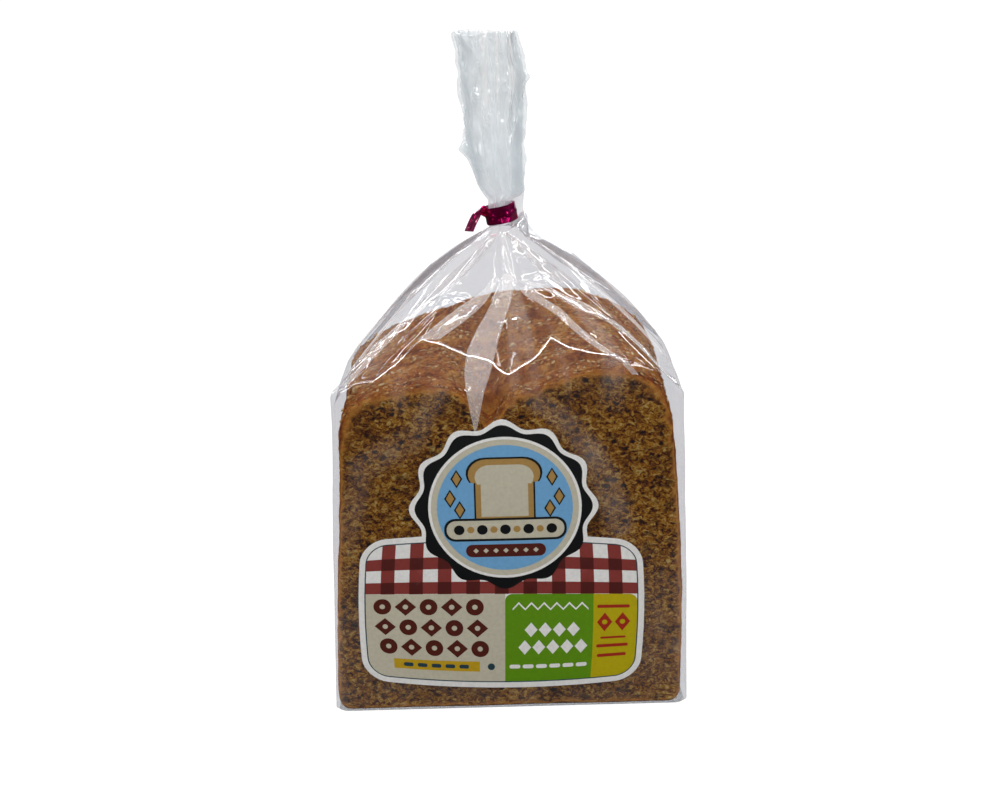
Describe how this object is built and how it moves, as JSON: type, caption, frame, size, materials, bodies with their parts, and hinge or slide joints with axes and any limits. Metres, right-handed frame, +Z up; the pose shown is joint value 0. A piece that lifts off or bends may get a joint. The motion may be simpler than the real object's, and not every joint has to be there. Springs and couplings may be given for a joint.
{
  "type": "loaf in bread bag",
  "caption": "Small sliced wholemeal loaf in a clear film bag gathered by a foil twist tie, with a die-cut paper label on its front; it stands upright on its flat base.",
  "frame": {"origin": "centre of the bag's bounding box, at the level of the surface that it stands on", "axes": "+Z up from the base to the mouth of the tail, -Y out of the labelled front, +X to the right seen from the front"},
  "size_m": [0.1168, 0.1056, 0.2165],
  "materials": {
    "film": "clear thin polypropylene film, crinkled and glossy",
    "label_paper": "coated self-adhesive paper, printed in flat fields of colour",
    "foil": "magenta lacquered foil ribbon, bright",
    "crumb": "open wholemeal bread crumb, matt",
    "crust": "baked brown crust, faint sheen",
    "oat_flake": "pale toasted oat and bran flakes, matt"
  },
  "bodies": {
    "root": {"bag": "film", "label": "label_paper", "twist_tie": "foil"}
  },
  "joints": []
}
